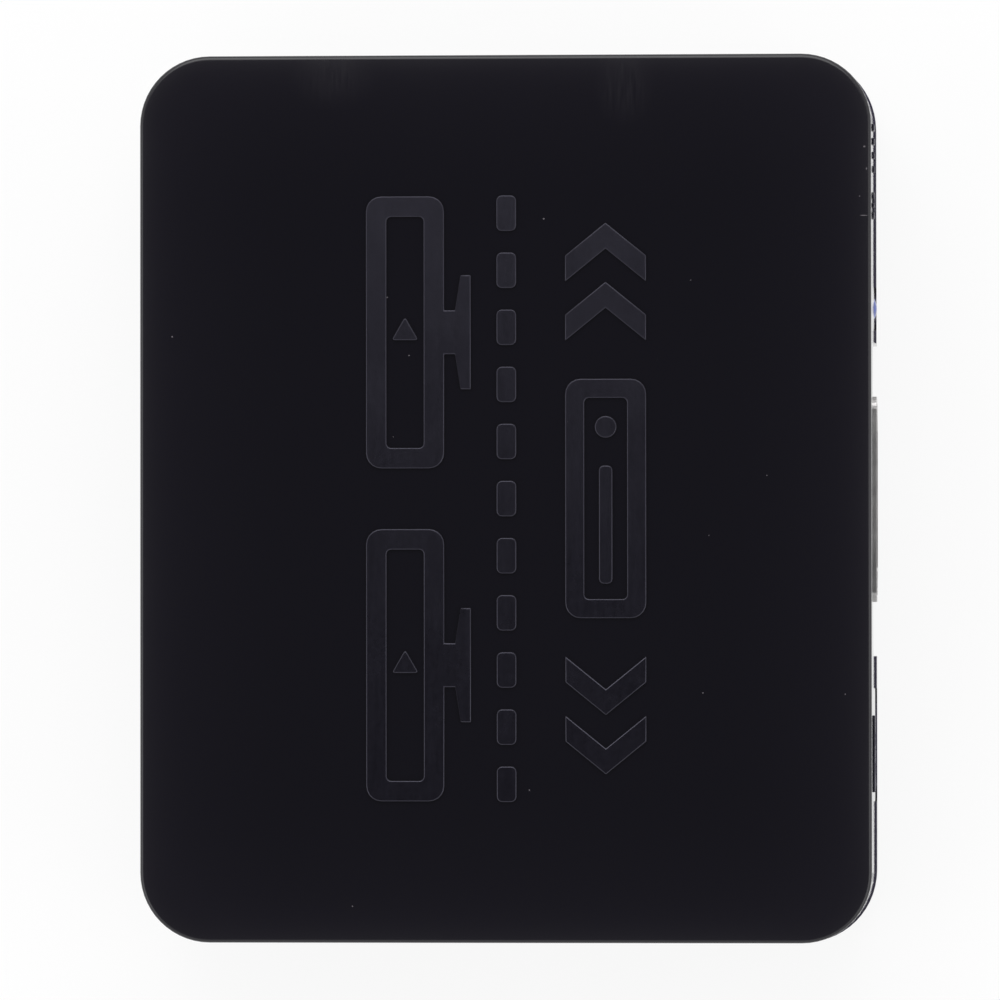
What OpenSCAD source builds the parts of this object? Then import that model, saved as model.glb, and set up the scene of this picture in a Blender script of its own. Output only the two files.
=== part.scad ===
// Video splitter: one input socket, two output sockets, a power socket and a status lamp
// on one circuit board, in a two-part plastic case closed by four screws from below.
// X runs along the socket walls, Y from the input wall to the output wall, Z up.
// The origin is the middle of the underside.

/* [Case] */
// Length along the socket walls
case_length = 65; // [61:0.5:90]
// Width from the input wall to the output wall
case_width = 53.7; // [51:0.1:80]
// Height from the underside to the top face
case_height = 17; // [15.5:0.5:24]
// Radius of the upright corners
corner_radius = 5.3; // [4:0.1:8]
// Thickness of the side walls
wall = 2; // [1.8:0.1:2.6]
// Thickness of the top face
top_thickness = 2; // [1.5:0.1:3]
// Thickness of the underside
floor_thickness = 1.8; // [1.4:0.1:2.4]
// Rounding of the top edge
top_edge_radius = 0.3; // [0.2:0.05:0.9]
// Rounding of the bottom edge
bottom_edge_radius = 0.8; // [0.2:0.05:1.2]
// How far each wall leans in between the parting line and its outer face
wall_lean = 0.1; // [0.05:0.05:0.4]
// How far the bottom cover stands out past the top cover
cover_step = 0.12; // [0:0.02:0.2]
// Height of the groove left between the two covers
reveal = 0.3; // [0.1:0.05:0.6]
// Depth of that groove
reveal_depth = 0.4; // [0.2:0.05:0.6]
// Height of the bottom cover's lip above the parting line
lip_height = 1.3; // [0.9:0.1:2]
// Thickness of that lip
lip_thickness = 0.8; // [0.6:0.05:1]
// Play between pieces that fit together
fit_gap = 0.1; // [0.05:0.05:0.2]
// Length of the shallow bare panel on the underside
panel_length = 38; // [20:1:44]
// Width of that panel
panel_width = 24; // [12:1:32]
// Depth of that panel
panel_depth = 0.25; // [0.1:0.05:0.5]
// Corner radius of that panel
panel_radius = 2; // [0.5:0.5:4]

/* [Openings in the walls] */
// Distance between the two output sockets
output_pitch = 26; // [24:0.5:30]
// Distance from the middle of the input wall to the power socket
power_offset = 18; // [16.5:0.5:19]
// Distance from the middle of the input wall to the status lamp
lamp_offset = 14; // [13.5:0.5:20.5]
// Play between a socket and its hole in the wall
hole_gap = 0.2; // [0.1:0.05:0.4]
// How far the video sockets and the lamp stand out of the walls
mouth_proud = 0.05; // [0:0.05:0.3]
// Width of the inset bezel round a single video socket
bezel_width = 23; // [17:0.2:23]
// Height of a bezel above the middle of its socket
bezel_rise = 4.3; // [3.7:0.1:4.7]
// Depth of a bezel
bezel_depth = 0.4; // [0.1:0.05:0.6]
// Radius of its two upper corners
bezel_radius = 1.2; // [0.4:0.1:2]

/* [Posts and screws] */
// Radius of the screw shank
screw_radius = 1.1; // [0.9:0.05:1.3]
// Length of the screw under its head
screw_length = 8; // [7:0.5:9]
// Radius of the screw head
head_radius = 2; // [1.8:0.05:2.2]
// Height of the screw head
head_height = 1.5; // [1:0.1:1.8]
// How deep the head lies below the underside
head_sink = 0.4; // [0.2:0.1:0.8]
// Play round the head in its counterbore
head_gap = 0.25; // [0.15:0.05:0.35]
// Width of the cross recess in the head
drive_width = 0.6; // [0.4:0.05:0.8]
// Length of the cross recess
drive_length = 2.4; // [1.8:0.1:2.8]
// Depth of the cross recess
drive_depth = 0.9; // [0.5:0.1:1]
// Radius of the posts under the board
post_radius = 2.7; // [2.6:0.05:2.8]
// Radius of the screw bosses above the board
boss_radius = 2.4; // [2.1:0.1:2.6]
// Distance from the inner corner of the case to a screw
boss_inset = 3; // [2.9:0.1:3.6]
// Thickness of the webs between bosses and walls
web_thickness = 1; // [0.8:0.1:1.4]
// Length of the ribs that carry the board at the end walls
rib_length = 2.5; // [1.5:0.1:4]
// Distance between the two ribs of an end wall
rib_pitch = 14; // [8:1:24]

/* [Board] */
// Thickness of the circuit board
board_thickness = 1.6; // [1.2:0.1:1.8]
// Height of the board above the inside of the floor
standoff_height = 2.2; // [1.8:0.1:3]
// Distance from the board's edge to the walls
board_gap = 0.35; // [0.2:0.05:0.6]
// Play round the leads and legs in the board
pin_gap = 0.15; // [0.1:0.05:0.25]
// How far leads and legs reach through the board
pin_below = 0.7; // [0.3:0.1:1.2]

/* [Video sockets] */
// Width of the opening
video_width = 14; // [13.9:0.05:14.2]
// Height of the opening
video_height = 4.55; // [4.45:0.05:4.65]
// Width of the flat bottom of the opening
video_floor = 10.2; // [9.6:0.1:10.8]
// Height of the slanted lower corners
video_slant = 1.55; // [1.3:0.05:1.8]
// Bend radius in the corners
video_bend = 0.4; // [0.2:0.05:0.5]
// Sheet thickness of the shell
video_sheet = 0.4; // [0.3:0.05:0.5]
// Depth of the shell
video_depth = 11.6; // [11:0.1:12.2]
// Height of the middle of the opening above the board
video_axis = 2.9; // [2.85:0.05:3.3]
// Length of the thicker rim at the mouth
rim_length = 0.4; // [0.2:0.05:0.6]
// How much thicker that rim is
rim_rise = 0.12; // [0.05:0.01:0.15]
// Width of a spring finger
finger_width = 2; // [1.6:0.1:2.4]
// Length of a spring finger
finger_length = 4.4; // [3.5:0.1:4.8]
// Slit cut round a spring finger
finger_slit = 0.35; // [0.2:0.05:0.5]
// Distance from the mouth to the free end of a finger
finger_start = 2.6; // [2.4:0.1:3]
// Distance between the two fingers of a side
finger_pitch = 6.4; // [5:0.2:7]
// How far the bump of a finger reaches into the opening
finger_bump = 0.28; // [0.15:0.01:0.29]
// Width of a shell leg along the socket
leg_width = 1.8; // [1.4:0.1:2.2]
// Distance from the mouth to the front legs
leg_front = 4.4; // [4.2:0.1:5]
// Distance between front and rear legs
leg_pitch = 5; // [4:0.1:5.2]
// Width of the contact tongue
tongue_width = 11.4; // [10.4:0.1:11.8]
// Thickness of the contact tongue
tongue_thickness = 1.2; // [1:0.05:1.4]
// Height of the tongue's middle above the middle of the opening
tongue_rise = 0.2; // [0:0.05:0.4]
// Distance from the mouth to the tongue
tongue_start = 2.6; // [2:0.1:3]
// Thickness of the insulator behind the tongue
block_length = 3.2; // [2:0.1:3.8]
// Contacts in the upper row
upper_contacts = 10; // [8:2:10]
// Contacts in the lower row
lower_contacts = 9; // [7:2:9]
// Distance between contacts of a row
contact_pitch = 1; // [0.9:0.05:1.05]
// Width of a contact
contact_width = 0.3; // [0.2:0.05:0.35]
// Thickness of a contact
contact_thickness = 0.15; // [0.1:0.01:0.2]
// How far a contact stands out of the tongue
contact_proud = 0.05; // [0.02:0.01:0.08]
// Distance from the tongue's tip to a contact's tip
contact_start = 0.5; // [0.3:0.1:1]
// Distance from the shell to the solder tails
tail_gap = 0.3; // [0.2:0.05:0.5]
// Length of a solder tail on the board
tail_length = 1; // [0.6:0.1:1.3]

/* [Power socket] */
// Width of the opening
power_width = 6.9; // [6.7:0.05:7.1]
// Height of the opening
power_height = 1.85; // [1.75:0.05:1.95]
// Width of the flat bottom of the opening
power_floor = 5.4; // [5:0.1:5.8]
// Height of the slanted lower corners
power_slant = 0.75; // [0.5:0.05:0.9]
// Bend radius in the corners
power_bend = 0.25; // [0.15:0.05:0.35]
// Sheet thickness of the shell
power_sheet = 0.3; // [0.2:0.05:0.35]
// Depth of the shell
power_depth = 5.2; // [4.8:0.1:5.6]
// Height of the middle of the opening above the board
power_axis = 1.35; // [1.32:0.01:1.5]
// How far the mouth lies behind the wall's face
power_sink = 0.4; // [0.2:0.05:0.6]
// Length of the flared mouth
flare_length = 0.4; // [0.2:0.05:0.6]
// How far the flared mouth widens
flare_rise = 0.2; // [0.1:0.05:0.25]
// Distance from the mouth to the legs
power_leg_start = 3; // [2.8:0.1:3.4]
// Width of a leg
power_leg_width = 1.2; // [0.8:0.1:1.4]
// Width of the tongue
power_tongue_width = 3.7; // [3.4:0.1:4.2]
// Thickness of the tongue
power_tongue_thickness = 0.6; // [0.5:0.05:0.7]
// Height of the tongue's middle above the middle of the opening
power_tongue_rise = 0.3; // [0.2:0.05:0.4]
// Distance from the mouth to the tongue
power_tongue_start = 0.8; // [0.5:0.1:1.2]
// Thickness of the insulator behind the tongue
power_block_length = 1.6; // [1.2:0.1:2]
// Contacts under the tongue
power_contacts = 5; // [3:2:5]
// Distance between those contacts
power_contact_pitch = 0.65; // [0.6:0.01:0.7]

/* [Status lamp] */
// Radius of the lens
lamp_radius = 1.5; // [1.3:0.05:1.6]
// Length from the base to the tip of the lens
lamp_length = 5.3; // [4.8:0.1:5.6]
// Radius of the base flange
lamp_flange_radius = 1.9; // [1.7:0.05:2]
// Thickness of the base flange
lamp_flange = 1; // [0.6:0.1:1.2]
// Thickness of the square leads
lead_size = 0.5; // [0.4:0.05:0.6]
// Distance between the two leads
lead_pitch = 2.54; // [2:0.02:2.6]
// Length of the leads behind the base
lead_run = 1.6; // [1.2:0.1:2.4]

/* [Chips] */
// Side of the splitter chip
splitter_size = 10; // [8:0.5:11]
// Height of the splitter chip
splitter_height = 1.4; // [1:0.1:2]
// Leads on each side of the splitter chip
splitter_leads = 16; // [8:1:18]
// Distance between its leads
splitter_pitch = 0.5; // [0.4:0.05:0.5]
// Place of the memory chip on the board
memory_place = [14, -4]; // [-20:0.5:20]
// Length of the memory chip
memory_length = 4.9; // [4.5:0.1:5.4]
// Width of the memory chip
memory_width = 3.9; // [3.5:0.1:4.4]
// Height of the memory chip
memory_height = 1.4; // [1:0.1:1.8]
// Distance between its leads
memory_pitch = 1.27; // [1:0.01:1.3]
// Place of the regulator, sideways and inwards from the power socket's mouth
regulator_shift = [-2, 13.5]; // [-4:0.5:16]
// Length of the regulator
regulator_length = 6.5; // [6:0.1:7]
// Width of the regulator
regulator_width = 3.5; // [3:0.1:4]
// Height of the regulator
regulator_height = 1.6; // [1.2:0.1:1.8]
// Distance between its leads
regulator_pitch = 2.3; // [2:0.1:2.5]
// Width of its cooling tab
regulator_tab = 3; // [2.4:0.1:3.4]
// Gap under the chips
chip_lift = 0.1; // [0.05:0.01:0.2]
// Thickness of the chip leads
chip_lead_thickness = 0.15; // [0.1:0.01:0.2]
// Reach of the chip leads
chip_lead_reach = 1; // [0.8:0.1:1.2]
// Length of the foot of a chip lead
chip_lead_foot = 0.5; // [0.3:0.05:0.6]

/* [Other parts on the board] */
// Place of the crystal on the board
crystal_place = [-13.5, -3]; // [-15:0.5:15]
// Length of the crystal can
crystal_length = 10.2; // [9:0.1:11]
// Width of the crystal can
crystal_width = 3.8; // [3.4:0.1:4.4]
// Height of the crystal can
crystal_height = 3.4; // [2.5:0.1:4]
// Width and height of its flange
crystal_flange = 0.4; // [0.2:0.05:0.5]
// Place of the first electrolytic capacitor
capacitor_place = [-24, 1]; // [-25:0.5:25]
// Distance between the two electrolytic capacitors
capacitor_pitch = 7; // [6:0.5:9]
// Radius of a capacitor can
capacitor_radius = 2.5; // [2:0.1:2.6]
// Height of a capacitor with its base
capacitor_height = 5.4; // [4.5:0.1:6]
// Thickness of its plastic base
capacitor_base = 0.9; // [0.6:0.1:1.2]
// Rim of the base round the can
capacitor_rim = 0.15; // [0.1:0.05:0.3]
// Length of a surge protector
surge_length = 2.5; // [2:0.1:3]
// Width of a surge protector
surge_width = 1; // [0.8:0.1:1.2]
// Height of a surge protector
surge_height = 0.55; // [0.4:0.05:0.8]
// Distance between the two protectors of a socket
surge_pitch = 5; // [4:0.2:6]
// Distance from the solder tails to the protectors
surge_gap = 0.5; // [0.3:0.1:0.6]
// Length of a small chip part
chip_length = 1.6; // [1:0.1:1.7]
// Width of a small chip part
chip_width = 0.8; // [0.5:0.1:0.9]
// Height of a small ceramic capacitor
ceramic_height = 0.8; // [0.5:0.1:1]
// Height of a small resistor
resistor_height = 0.45; // [0.3:0.05:0.6]
// Distance between neighbouring small parts
chip_pitch = 2.2; // [2:0.1:2.4]
// Small capacitors in each row beside the splitter chip
capacitors_per_row = 6; // [2:1:8]
// Distance from the middle of the board to the capacitor rows
capacitor_row = 8.2; // [7.6:0.1:8.6]
// Distance from the middle of the board to the resistor groups
resistor_start = 9.5; // [9:0.5:10]
// Resistors along a group
resistors_per_row = 4; // [2:1:4]
// Place of the ferrite bead, sideways and inwards from the power socket's mouth
bead_shift = [6.5, 10]; // [0:0.5:12]
// Length of the ferrite bead
bead_length = 3.2; // [2:0.1:3.4]
// Width of the ferrite bead
bead_width = 1.6; // [1:0.1:1.8]
// Height of the ferrite bead
bead_height = 1.1; // [0.8:0.1:1.4]

/* [Hidden] */
$fn = 48;
// Facet count of the bends in the socket sheet
bend_fn = 24;
// Overlap that carries a cut past a face
past = 1;

core_length = case_length - 2 * corner_radius;
core_width = case_width - 2 * corner_radius;
inner_length = case_length - 2 * wall;
inner_width = case_width - 2 * wall;
ceiling_z = case_height - top_thickness;

board_bottom_z = floor_thickness + standoff_height;
board_top_z = board_bottom_z + board_thickness;
board_length = inner_length - 2 * board_gap;
board_width = inner_width - 2 * board_gap;
board_radius = corner_radius - wall - board_gap;
pin_end = board_thickness + pin_below;

parting_z = board_top_z + video_axis;
skirt_z = parting_z + reveal;
rebate_z = parting_z + lip_height + fit_gap;
web_z = rebate_z + past;

boss_shift = (corner_radius - wall - boss_inset) / sqrt(2);
boss_x = core_length / 2 + boss_shift;
boss_y = core_width / 2 + boss_shift;
seat_z = head_sink + head_height;
pilot_z = seat_z + screw_length + past;

mouth_y = case_width / 2 + mouth_proud;
power_y = case_width / 2 - power_sink;
power_z = board_top_z + power_axis;
power_place = [-power_offset, -power_y];
regulator_place = power_place + regulator_shift;
bead_place = power_place + bead_shift;
power_margin = power_sheet + flare_rise + hole_gap;
power_hole_width = power_width + 2 * power_margin;
power_hole_top = power_z + power_height / 2 + power_margin;
lamp_z = parting_z + reveal / 2;
lamp_base_y = lamp_length - mouth_y;
lamp_lead_y = lamp_base_y + lead_run - lead_size / 2;

tail_y = video_depth + tail_gap;
surge_y = tail_y + tail_length + surge_gap + surge_width / 2;

// Flat shapes

module rounded_rectangle(length, width, radius) {
    square([length - 2 * radius, width], center = true);
    square([length, width - 2 * radius], center = true);
    for (x = [-1, 1], y = [-1, 1])
        translate([x * (length / 2 - radius), y * (width / 2 - radius)])
            circle(radius);
}

module stadium(length, width) {
    square([length - width, width], center = true);
    for (x = [-1, 1])
        translate([x * (length - width) / 2, 0])
            circle(d = width);
}

// Mouth of a stamped socket: flat top, slanted lower corners, grown outward by a margin
module socket_outline(width, height, floor_width, slant, bend, margin) {
    offset(r = bend + margin, $fn = bend_fn)
        offset(delta = -bend)
            polygon([
                [-width / 2, height / 2],
                [-width / 2, slant - height / 2],
                [-floor_width / 2, -height / 2],
                [floor_width / 2, -height / 2],
                [width / 2, slant - height / 2],
                [width / 2, height / 2]
            ]);
}

module video_outline(margin) {
    socket_outline(video_width, video_height, video_floor, video_slant, video_bend, margin);
}

module power_outline(margin) {
    socket_outline(power_width, power_height, power_floor, power_slant, power_bend, margin);
}

// A flat shape drawn in X and Z, carried along Y
module along_y(start, stop) {
    translate([0, stop, 0])
        rotate([90, 0, 0])
            linear_extrude(stop - start)
                children();
}

// A flat shape drawn in Y and Z, carried along X about the middle
module along_x(width) {
    rotate([90, 0, 90])
        linear_extrude(width, center = true)
            children();
}

// Places

module at_input() {
    translate([0, -mouth_y, parting_z])
        children();
}

module at_output(side) {
    translate([side * output_pitch / 2, mouth_y, parting_z])
        rotate(180)
            children();
}

module at_video_sockets() {
    at_input()
        children();
    for (side = [-1, 1])
        at_output(side)
            children();
}

module at_power_socket() {
    translate([-power_offset, -power_y, power_z])
        children();
}

module at_bosses() {
    for (x = [-1, 1], y = [-1, 1])
        translate([x * boss_x, y * boss_y, 0])
            children();
}

module on_board(place) {
    translate([place.x, place.y, board_top_z])
        children();
}

// Case

// Section of one cover: X runs out from the corner axis, Y in from the outer face
module cover_section(reach, plate, depth, edge) {
    slope = atan(wall_lean / depth);
    centre = reach - (edge + (depth - edge) * sin(slope)) / cos(slope);
    polygon([
        [0, 0],
        [centre, 0],
        [centre + edge * cos(slope), edge - edge * sin(slope)],
        [reach, depth],
        [corner_radius - wall, depth],
        [corner_radius - wall, plate],
        [0, plate]
    ]);
    translate([centre, edge])
        circle(edge);
}

// Carries a cover section round the four corners and along the four sides
module sweep_round() {
    for (quarter = [0:3]) {
        core = quarter % 2 == 0 ? [core_length, core_width] : [core_width, core_length];
        rotate(90 * quarter)
            translate([core.x / 2, core.y / 2, 0]) {
                rotate_extrude(angle = 90)
                    children();
                rotate([90, 0, 0])
                    linear_extrude(core.y)
                        children();
            }
    }
}

module core_plate(bottom, thickness) {
    translate([-core_length / 2, -core_width / 2, bottom])
        cube([core_length, core_width, thickness]);
}

// Inset face round the video sockets of a wall, with rounded upper corners and no lower end
module bezel(width) {
    half = width / 2 - bezel_radius;
    along_y(-past, mouth_proud + bezel_depth) {
        translate([-half, -parting_z - past])
            square([2 * half, parting_z + past + bezel_rise]);
        translate([-width / 2, -parting_z - past])
            square([width, parting_z + past + bezel_rise - bezel_radius]);
        for (side = [-1, 1])
            translate([side * half, bezel_rise - bezel_radius])
                circle(bezel_radius);
    }
}

// Everything that is cut through or into the socket walls
module wall_openings() {
    at_video_sockets()
        along_y(-past, wall + past)
            video_outline(video_sheet + hole_gap);
    at_input()
        bezel(bezel_width);
    translate([0, mouth_y, parting_z])
        rotate(180)
            bezel(output_pitch + bezel_width);
    at_power_socket()
        along_y(-power_sink - past, wall + past)
            power_outline(power_margin);
    translate([lamp_offset, -case_width / 2, lamp_z])
        along_y(-past, wall + past)
            circle(lamp_radius + fit_gap);
}

module top_section() {
    difference() {
        translate([0, case_height])
            mirror([0, 1])
                cover_section(
                    corner_radius - cover_step, top_thickness, case_height - skirt_z, top_edge_radius
                );
        translate([corner_radius - wall - past, skirt_z - past])
            square([past + lip_thickness + fit_gap, rebate_z - skirt_z + past]);
    }
}

// Boss with two webs to the walls; the screw cuts its thread in the bore
module screw_boss() {
    reach_x = inner_length / 2 - boss_x + fit_gap;
    reach_y = inner_width / 2 - boss_y + fit_gap;
    translate([0, 0, board_top_z])
        cylinder(r = boss_radius, h = ceiling_z - board_top_z + fit_gap);
    translate([0, -web_thickness / 2, web_z])
        cube([reach_x, web_thickness, ceiling_z - web_z + fit_gap]);
    translate([-web_thickness / 2, 0, web_z])
        cube([web_thickness, reach_y, ceiling_z - web_z + fit_gap]);
}

// Tab that closes the top of the power socket's hole
module power_hole_tab() {
    width = power_hole_width - 2 * fit_gap;
    translate([-power_offset - width / 2, cover_step + fit_gap - case_width / 2, power_hole_top])
        cube([width, wall - cover_step - fit_gap, rebate_z + past - power_hole_top]);
}

module top_cover() {
    color([0.03, 0.03, 0.035])
        difference() {
            union() {
                sweep_round()
                    top_section();
                core_plate(ceiling_z, top_thickness);
                power_hole_tab();
                for (x = [0, 1], y = [0, 1])
                    mirror([x, 0, 0])
                        mirror([0, y, 0])
                            translate([boss_x, boss_y, 0])
                                screw_boss();
            }
            wall_openings();
            at_bosses()
                translate([0, 0, board_top_z - past])
                    cylinder(r = screw_radius + fit_gap / 2, h = pilot_z - board_top_z + past);
        }
}

module bottom_section() {
    cover_section(corner_radius, floor_thickness, parting_z, bottom_edge_radius);
    translate([corner_radius - wall, parting_z - past])
        square([wall - reveal_depth, reveal + past]);
    translate([corner_radius - wall, parting_z - past])
        square([lip_thickness, lip_height + past]);
}

module bottom_cover() {
    color([0.035, 0.035, 0.04])
        difference() {
            union() {
                sweep_round()
                    bottom_section();
                core_plate(0, floor_thickness);
                at_bosses()
                    cylinder(r = post_radius, h = board_bottom_z);
                for (x = [-1, 1], y = [-1, 1])
                    translate([x * (inner_length - rib_length) / 2, y * rib_pitch / 2, board_bottom_z / 2])
                        cube([rib_length + 2 * fit_gap, web_thickness, board_bottom_z], center = true);
            }
            wall_openings();
            translate([-power_offset - power_hole_width / 2, -case_width / 2 - past, power_z])
                cube([power_hole_width, wall + 2 * past, rebate_z - power_z]);
            at_bosses() {
                translate([0, 0, -past])
                    cylinder(r = head_radius + head_gap, h = seat_z + past);
                cylinder(r = screw_radius + fit_gap, h = board_bottom_z + past);
            }
            translate([0, 0, -past])
                linear_extrude(panel_depth + past)
                    rounded_rectangle(panel_length, panel_width, panel_radius);
        }
}

module case_screw() {
    chamfer = head_height / 4;
    difference() {
        rotate_extrude()
            polygon([
                [0, -head_height],
                [head_radius - chamfer, -head_height],
                [head_radius, chamfer - head_height],
                [head_radius, 0],
                [screw_radius, 0],
                [screw_radius, screw_length - screw_radius],
                [screw_radius / 2, screw_length],
                [0, screw_length]
            ]);
        for (turn = [0, 90])
            rotate(turn)
                translate([-drive_length / 2, -drive_width / 2, -head_height - past])
                    cube([drive_length, drive_width, drive_depth + past]);
    }
}

module case_screws() {
    color([0.7, 0.7, 0.72])
        at_bosses()
            translate([0, 0, seat_z])
                case_screw();
}

// Board

module leg_slots() {
    for (side = [-1, 1], row = [0, 1])
        translate([side * (video_width + video_sheet) / 2, leg_front + row * leg_pitch])
            square([video_sheet + 2 * pin_gap, leg_width + 2 * pin_gap], center = true);
}

module main_board() {
    color([0.03, 0.22, 0.12])
        translate([0, 0, board_bottom_z])
            linear_extrude(board_thickness)
                difference() {
                    rounded_rectangle(board_length, board_width, board_radius);
                    for (x = [-1, 1], y = [-1, 1])
                        translate([x * boss_x, y * boss_y])
                            circle(screw_radius + pin_gap);
                    translate([0, -mouth_y])
                        leg_slots();
                    for (side = [-1, 1])
                        translate([side * output_pitch / 2, mouth_y])
                            rotate(180)
                                leg_slots();
                    for (side = [-1, 1])
                        translate([
                            side * (power_width + power_sheet) / 2 - power_offset,
                            power_leg_start + power_leg_width / 2 - power_y
                        ])
                            square([power_sheet + 2 * pin_gap, power_leg_width + 2 * pin_gap], center = true);
                    for (side = [-1, 1])
                        translate([lamp_offset + side * lead_pitch / 2, lamp_lead_y])
                            circle(lead_size / 2 + 2 * pin_gap);
                }
}

// Video sockets: the mouth is at Y = 0, Y runs in, Z = 0 is the middle of the opening

// Slit round a spring finger; the finger stays joined at its inner end
module finger_slits() {
    difference() {
        translate([-finger_width / 2 - finger_slit, finger_start - finger_slit])
            square([finger_width + 2 * finger_slit, finger_length + finger_slit]);
        translate([-finger_width / 2, finger_start])
            square([finger_width, finger_length + past]);
    }
}

module video_shell() {
    wall_middle = (video_height + video_sheet) / 2;
    difference() {
        union() {
            along_y(0, video_depth)
                video_outline(video_sheet);
            along_y(0, rim_length)
                video_outline(video_sheet + rim_rise);
        }
        along_y(-past, video_depth + past)
            video_outline(0);
        for (face = [-1, 1], side = [-1, 1])
            translate([side * finger_pitch / 2, 0, face * wall_middle - video_sheet])
                linear_extrude(2 * video_sheet)
                    finger_slits();
    }
    for (face = [-1, 1], side = [-1, 1])
        translate([side * finger_pitch / 2, finger_start + 2 * finger_bump, face * video_height / 2])
            rotate([0, 90, 0])
                cylinder(r = finger_bump, h = finger_width, center = true);
    for (side = [-1, 1], row = [0, 1])
        translate([
            side * (video_width + video_sheet) / 2,
            leg_front + row * leg_pitch,
            -(video_axis + pin_end) / 2
        ])
            cube([video_sheet, leg_width, video_axis + pin_end], center = true);
}

// One contact: a strip along the tongue, a drop behind the shell and a tail on the board
module video_contact(level) {
    square_start = tongue_start + contact_start;
    translate([square_start, level])
        square([tail_y + contact_thickness - square_start, contact_thickness]);
    translate([tail_y, -video_axis])
        square([contact_thickness, level + video_axis + contact_thickness]);
    translate([tail_y, -video_axis])
        square([tail_length, contact_thickness]);
}

module video_contacts() {
    upper = tongue_rise + tongue_thickness / 2 + contact_proud - contact_thickness;
    lower = tongue_rise - tongue_thickness / 2 - contact_proud;
    for (i = [0:upper_contacts - 1])
        translate([(i - (upper_contacts - 1) / 2) * contact_pitch, 0, 0])
            along_x(contact_width)
                video_contact(upper);
    for (i = [0:lower_contacts - 1])
        translate([(i - (lower_contacts - 1) / 2) * contact_pitch, 0, 0])
            along_x(contact_width)
                video_contact(lower);
}

module video_tongue() {
    difference() {
        union() {
            along_y(tongue_start, video_depth)
                translate([-tongue_width / 2, tongue_rise - tongue_thickness / 2])
                    square([tongue_width, tongue_thickness]);
            along_y(video_depth - block_length, video_depth)
                video_outline(-fit_gap / 2);
        }
        video_contacts();
    }
}

// Power socket: same axes as the video sockets

module power_shell() {
    difference() {
        union() {
            along_y(0, power_depth)
                power_outline(power_sheet);
            along_y(0, flare_length)
                power_outline(power_sheet + flare_rise);
        }
        along_y(-past, power_depth + past)
            power_outline(0);
    }
    for (side = [-1, 1])
        translate([
            side * (power_width + power_sheet) / 2,
            power_leg_start + power_leg_width / 2,
            -(power_axis + pin_end) / 2
        ])
            cube([power_sheet, power_leg_width, power_axis + pin_end], center = true);
}

module power_contact_strips() {
    level = power_tongue_rise - power_tongue_thickness / 2 - contact_proud;
    start = power_tongue_start + contact_start;
    back = power_depth + tail_gap;
    for (i = [0:power_contacts - 1])
        translate([(i - (power_contacts - 1) / 2) * power_contact_pitch, 0, 0])
            along_x(contact_width) {
                translate([start, level])
                    square([back + contact_thickness - start, contact_thickness]);
                translate([back, -power_axis])
                    square([contact_thickness, level + power_axis + contact_thickness]);
                translate([back, -power_axis])
                    square([tail_length, contact_thickness]);
            }
}

module power_insulator() {
    difference() {
        union() {
            along_y(power_tongue_start, power_depth)
                translate([-power_tongue_width / 2, power_tongue_rise - power_tongue_thickness / 2])
                    square([power_tongue_width, power_tongue_thickness]);
            along_y(power_depth - power_block_length, power_depth)
                power_outline(-fit_gap / 2);
        }
        power_contact_strips();
    }
}

// Nodes of the four sockets

module video_input_shell() {
    color([0.75, 0.75, 0.77])
        at_input()
            video_shell();
}

module video_input_tongue() {
    color([0.05, 0.05, 0.05])
        at_input()
            video_tongue();
}

module video_input_contacts() {
    color([0.85, 0.68, 0.3])
        at_input()
            video_contacts();
}

module video_output_1_shell() {
    color([0.75, 0.75, 0.77])
        at_output(-1)
            video_shell();
}

module video_output_1_tongue() {
    color([0.05, 0.05, 0.05])
        at_output(-1)
            video_tongue();
}

module video_output_1_contacts() {
    color([0.85, 0.68, 0.3])
        at_output(-1)
            video_contacts();
}

module video_output_2_shell() {
    color([0.75, 0.75, 0.77])
        at_output(1)
            video_shell();
}

module video_output_2_tongue() {
    color([0.05, 0.05, 0.05])
        at_output(1)
            video_tongue();
}

module video_output_2_contacts() {
    color([0.85, 0.68, 0.3])
        at_output(1)
            video_contacts();
}

module power_socket_shell() {
    color([0.75, 0.75, 0.77])
        at_power_socket()
            power_shell();
}

module power_socket_tongue() {
    color([0.05, 0.05, 0.05])
        at_power_socket()
            power_insulator();
}

module power_socket_contacts() {
    color([0.85, 0.68, 0.3])
        at_power_socket()
            power_contact_strips();
}

// Status lamp

module status_lamp() {
    color([0.3, 0.42, 0.85])
        translate([lamp_offset, lamp_base_y, lamp_z])
            rotate([90, 0, 0])
                rotate_extrude() {
                    square([lamp_flange_radius, lamp_flange]);
                    square([lamp_radius, lamp_length - lamp_radius]);
                    translate([0, lamp_length - lamp_radius])
                        intersection() {
                            circle(lamp_radius);
                            square(lamp_radius);
                        }
                }
}

module status_lamp_leads() {
    drop = lamp_z - board_bottom_z + pin_below + lead_size / 2;
    color([0.78, 0.78, 0.8])
        for (side = [-1, 1])
            translate([lamp_offset + side * lead_pitch / 2, lamp_base_y, lamp_z])
                along_x(lead_size) {
                    translate([0, -lead_size / 2])
                        square([lead_run, lead_size]);
                    translate([lead_run - lead_size, lead_size / 2 - drop])
                        square([lead_size, drop]);
                }
}

// Chips

// Bent lead: leaves the body at X = 0 at the given height, steps down, ends in a foot on the board
module chip_lead(level, lead_width) {
    knee = chip_lead_reach - chip_lead_foot;
    rotate([90, 0, 0])
        linear_extrude(lead_width, center = true) {
            translate([0, level])
                square([knee, chip_lead_thickness]);
            translate([knee - chip_lead_thickness, 0])
                square([chip_lead_thickness, level + chip_lead_thickness]);
            translate([knee - chip_lead_thickness, 0])
                square([chip_lead_foot + chip_lead_thickness, chip_lead_thickness]);
        }
}

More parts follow.
